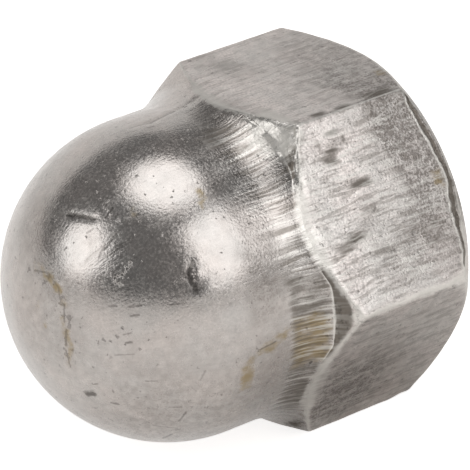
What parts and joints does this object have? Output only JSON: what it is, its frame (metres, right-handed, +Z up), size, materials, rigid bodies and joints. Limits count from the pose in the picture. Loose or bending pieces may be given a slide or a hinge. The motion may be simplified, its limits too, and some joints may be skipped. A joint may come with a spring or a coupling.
{
  "type": "cap nut",
  "caption": "Domed steel cap nut: a chamfered hexagon, a hollow flare into a round dome, and a blind threaded hole in the seat.",
  "frame": {"origin": "on the flat that the nut lies on, under the middle of its length", "axes": "+Z up; the nut lies on one flat with its thread's axis along X, 9 mm up: the seat and the mouth of the hole face +X, the dome points along -X"},
  "size_m": [0.0217, 0.0208, 0.018],
  "materials": {
    "steel": "bare turned steel, worn and handled, with bar-stock marks on the flats and tool marks in the flare"
  },
  "bodies": {
    "root": {"cap_nut": "steel"}
  },
  "joints": []
}
